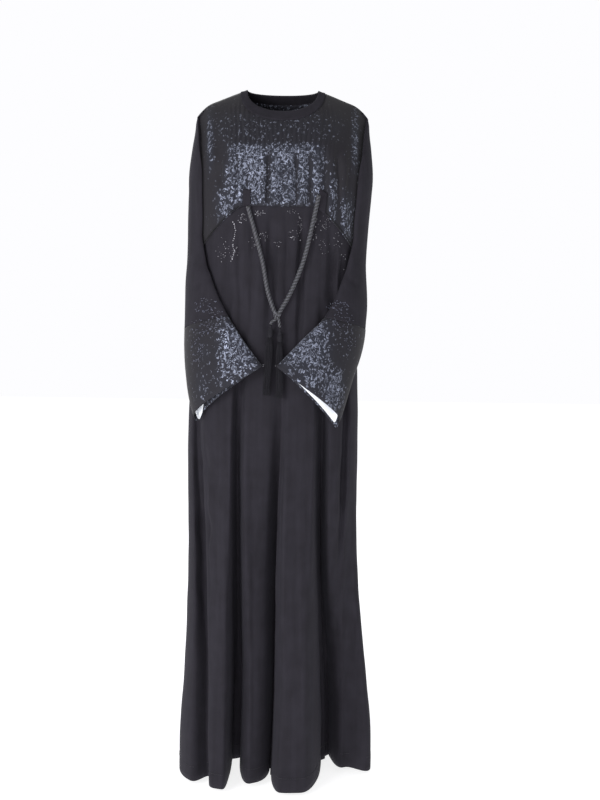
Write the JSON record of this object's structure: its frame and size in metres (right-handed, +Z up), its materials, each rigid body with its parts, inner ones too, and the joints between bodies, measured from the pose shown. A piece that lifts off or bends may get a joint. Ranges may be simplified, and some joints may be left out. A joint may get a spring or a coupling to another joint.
{
  "type": "kaftan",
  "caption": "Long black kaftan in its worn hollow form, with a gathered foil-cloth yoke, folded skirt, banded sleeves and a rope belt cord with tassels.",
  "frame": {"origin": "on the centre line between the front and back, level with the top of the shoulders beside the neck, where the wearer's shoulders carry it", "axes": "+Z up, the garment's front faces -Y, and +X is on the right as its front is seen"},
  "size_m": [0.4026, 0.3269, 1.3974],
  "materials": {
    "black_crepe": "matt crepe weave",
    "crackle_foil_cloth": "black cloth with a crackled silver-blue foil",
    "white_satin": "soft satin",
    "black_rope": "twisted yarn with a slight sheen",
    "black_tassel_yarn": "matt cut yarn"
  },
  "bodies": {
    "root": {"bodice_front": "crackle_foil_cloth", "bodice_back": "crackle_foil_cloth", "skirt_front": "black_crepe", "skirt_back": "black_crepe", "sleeve_left": "black_crepe", "sleeve_right": "black_crepe", "cuff_left": "crackle_foil_cloth", "cuff_right": "crackle_foil_cloth", "cuff_facing_left": "white_satin", "cuff_facing_right": "white_satin", "neck_binding": "black_crepe", "cord_tab_left": "black_crepe", "cord_tab_right": "black_crepe", "cord_left": "black_rope", "cord_right": "black_rope", "cord_knot": "black_rope", "cord_tail_left": "black_rope", "cord_tail_right": "black_rope", "tassel_left": "black_tassel_yarn", "tassel_right": "black_tassel_yarn"}
  },
  "joints": []
}
